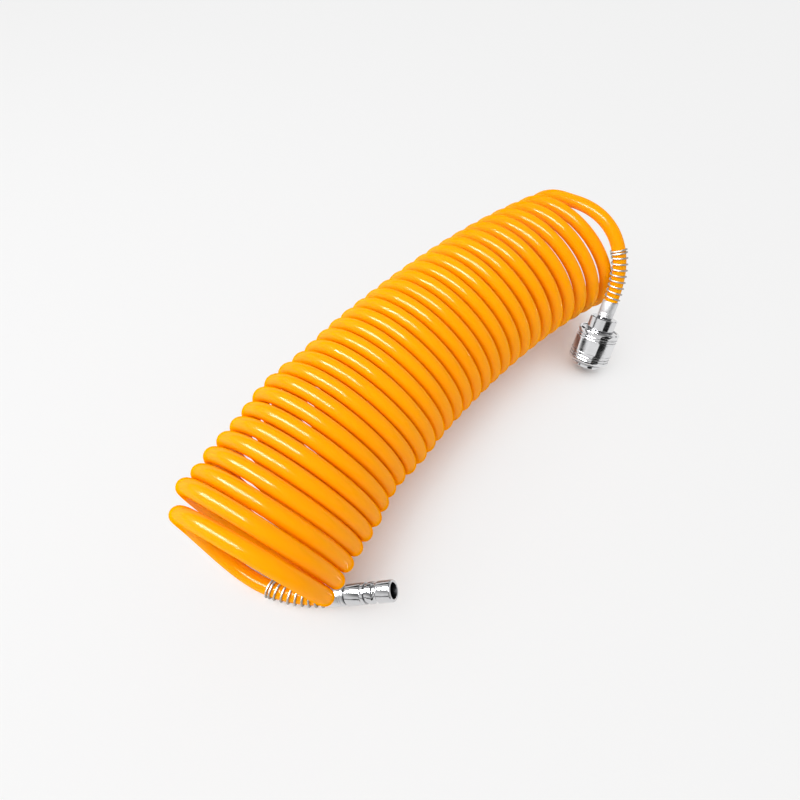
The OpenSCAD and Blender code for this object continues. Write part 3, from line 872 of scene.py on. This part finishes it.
# the CAD nodes that stay: socket body and tail, balls, valve and seals
def finishNodes():
    chrome = metalMaterial("bodyChrome", "bodyChrome", socketWay)
    balls = metalMaterial("ballSteel", "ballSteel")
    valve = metalMaterial("valveSteel", "valveSteel")
    seal = rubberMaterial()
    finishes = {
        "socket_body": chrome,
        "socket_tail": chrome,
        "valve_poppet": valve,
        "tail_oring": seal,
        "bore_packing": seal,
        "valve_seal": seal,
    }
    for name, piece in frame["nodes"].items():
        finish = balls if name.startswith("lock_ball") else finishes.get(name)
        if finish:
            piece.data.materials.clear()
            piece.data.materials.append(finish)


finishNodes()
print("finishes set")


# lengths in metres, headings in degrees from +X, heights in degrees over the horizon
studio = {
    "floorSize": 6.0,
    "floorDrop": 0.0002,
    "pale": 0.9,  # colour of the floor and the backdrop
    "paper": 0.83,
    "paperRough": 0.9,
    "paperShine": 0.1,
    "floorShow": 0.15,  # share of the open floor's own light and shadow that the eye sees
    "floorReach": 0.06,
    "floorOpen": (0.2, 0.85),  # how open a spot is where the plain colour starts, and is whole
    "world": 0.82,  # strength of the light from the room
    "ceiling": 0.2,  # what polished metal sees overhead
    "ceilingFrom": (14.0, 38.0),
    # the dark far side of the room, which gives polished metal its black lines: how high it
    # reaches at each heading and elsewhere, how dark it is, and how softly it ends
    "darkEdge": (
        (110, 5),
        (160, 7),
        (178, 11),
        (202, 11),
        (212, 7),
        (220, 22),
        (254, 22),
        (264, 6),
    ),
    "darkElsewhere": 4.95,
    "dark": 0.012,
    "darkSoft": (-1.0, 1.5),
    "lampsFace": (0, 0, 0.04),
}
# size is across and along, and along is the long side's way; a lamp that lights gloss shows as
# a highlight alone, and one that lights the surface gives no highlight
lamps = {
    "shineStrip": {
        "place": (-0.40, 0.36, 0.71),
        "size": (0.28, 1.0),
        "along": (0, 0.89, -0.45),
        "watts": 50.0,
        "lights": "gloss",
    },
    "softKey": {
        "place": (-0.43, 0.30, 0.76),
        "size": (0.7, 0.7),
        "along": (0, 0.89, -0.45),
        "watts": 5.5,
        "lights": "surface",
    },
}


def seenRays(tree):
    # 1 for rays that the eye, a mirror or glass sends, and 1 for the eye's alone
    rays = node(tree, "ShaderNodeLightPath", (-700, 500))
    eye = rays.outputs["Is Camera Ray"]
    mirror = mathNode(tree, "MAXIMUM", eye, rays.outputs["Is Glossy Ray"], (-450, 500))
    glass = rays.outputs["Is Transmission Ray"]
    return mathNode(tree, "MAXIMUM", mirror, glass, (-250, 500)), eye


def makeFloor():
    shape = bmesh.new()
    bmesh.ops.create_grid(shape, x_segments=1, y_segments=1, size=studio["floorSize"] / 2)
    bmesh.ops.translate(shape, verts=shape.verts, vec=(0, 0, -studio["floorDrop"]))
    material, tree, shader = newMaterial("floorPaper")
    shader.inputs["Base Color"].default_value = (*grey(studio["paper"]), 1)
    shader.inputs["Roughness"].default_value = studio["paperRough"]
    shader.inputs["Specular IOR Level"].default_value = studio["paperShine"]
    pale = node(tree, "ShaderNodeEmission", (0, -300), Color=(*grey(studio["pale"]), 1))
    # the paper stays in its own light under and close beside the part
    openness = node(tree, "ShaderNodeAmbientOcclusion", (-450, 200), samples=8)
    openness.inputs["Distance"].default_value = studio["floorReach"]
    most = 1 - studio["floorShow"]
    clear = rangeNode(tree, (-200, 200), studio["floorOpen"], (0, most), "SMOOTHSTEP")
    link(tree, openness, "AO", clear, "Value")
    seen = seenRays(tree)[0]
    share = mathNode(tree, "MULTIPLY", seen, clear.outputs["Result"], (100, 300))
    mix = mixNode(tree, (350, 100), share, shader, pale)
    link(tree, mix, "Shader", tree.nodes["Material Output"], "Surface")
    floor = finishMesh(shape, "floor", material)


def mirroredRoom(tree):
    # brightness of the backdrop by direction, as polished metal shows it
    where = node(tree, "ShaderNodeTexCoord", (-1900, -300))
    parts = node(tree, "ShaderNodeSeparateXYZ", (-1700, -300))
    link(tree, where, "Generated", parts, 0)
    x, y, z = parts.outputs
    height = mathNode(tree, "ARCSINE", z, None, (-1500, -500))
    height = mathNode(tree, "MULTIPLY", height, 180 / math.pi, (-1300, -500))
    # heading as a share of a full turn, from 0 to 1
    heading = mathNode(tree, "ARCTAN2", y, x, (-1500, -200))
    heading = mathNode(tree, "MULTIPLY", heading, 0.5 / math.pi, (-1300, -200))
    heading = mathNode(tree, "ADD", heading, 1, (-1150, -200))
    heading = mathNode(tree, "WRAP", heading, 1, (-1000, -200))
    # the ramp holds heights as shares of 90 degrees
    elsewhere = grey(studio["darkElsewhere"] / 90)
    edge = rampNode(tree, (-800, -200), (0, 1), elsewhere, elsewhere)
    for degrees, reach in studio["darkEdge"]:
        edge.color_ramp.elements.new(degrees / 360).color = (*grey(reach / 90), 1)
    tree.links.new(heading, edge.inputs["Fac"])
    top = mathNode(tree, "MULTIPLY", edge.outputs["Color"], 90, (-500, -200))
    above = mathNode(tree, "SUBTRACT", height, top, (-350, -300))
    soft = studio["darkSoft"]
    lit = rangeNode(tree, (-200, -300), soft, (studio["dark"], 1), "SMOOTHSTEP")
    tree.links.new(above, lit.inputs["Value"])
    levels = (studio["pale"], studio["ceiling"])
    over = rangeNode(tree, (-200, -600), studio["ceilingFrom"], levels, "SMOOTHSTEP")
    tree.links.new(height, over.inputs["Value"])
    return mathNode(tree, "MULTIPLY", lit.outputs["Result"], over.outputs["Result"], (0, -400))


def makeWorld():
    world = bpy.data.worlds.new("studio")
    bpy.context.scene.world = world
    world.use_nodes = True
    tree = world.node_tree
    # three rooms: the one that lights the part, the one the eye sees, the one metal mirrors
    back = tree.nodes["Background"]
    back.inputs["Color"].default_value = (1, 1, 1, 1)
    back.inputs["Strength"].default_value = studio["world"]
    pale = node(tree, "ShaderNodeBackground", (0, 200), Color=(*grey(studio["pale"]), 1))
    mirrored = node(tree, "ShaderNodeBackground", (200, -200), Color=(1, 1, 1, 1))
    tree.links.new(mirroredRoom(tree), mirrored.inputs["Strength"])
    seen, eye = seenRays(tree)
    inner = mixNode(tree, (400, 0), eye, mirrored, pale)
    mix = mixNode(tree, (600, 100), seen, back, inner)
    link(tree, mix, "Shader", tree.nodes["World Output"], "Surface")


def makeLamps():
    for name, lamp in lamps.items():
        data = bpy.data.lights.new(name, "AREA")
        data.shape = "RECTANGLE"
        data.size, data.size_y = lamp["size"]
        data.energy = lamp["watts"]
        holder = bpy.data.objects.new(name, data)
        bpy.context.scene.collection.objects.link(holder)
        holder.visible_diffuse = lamp["lights"] != "gloss"
        holder.visible_glossy = lamp["lights"] != "surface"
        back = (Vector(lamp["place"]) - Vector(studio["lampsFace"])).normalized()
        up = Vector(lamp["along"])
        up = (up - back * up.dot(back)).normalized()
        turn = Matrix((up.cross(back), up, back)).transposed().to_4x4()
        holder.matrix_world = Matrix.Translation(lamp["place"]) @ turn


makeFloor()
makeWorld()
makeLamps()
bpy.context.scene.view_settings.view_transform = "Standard"
print("studio made")
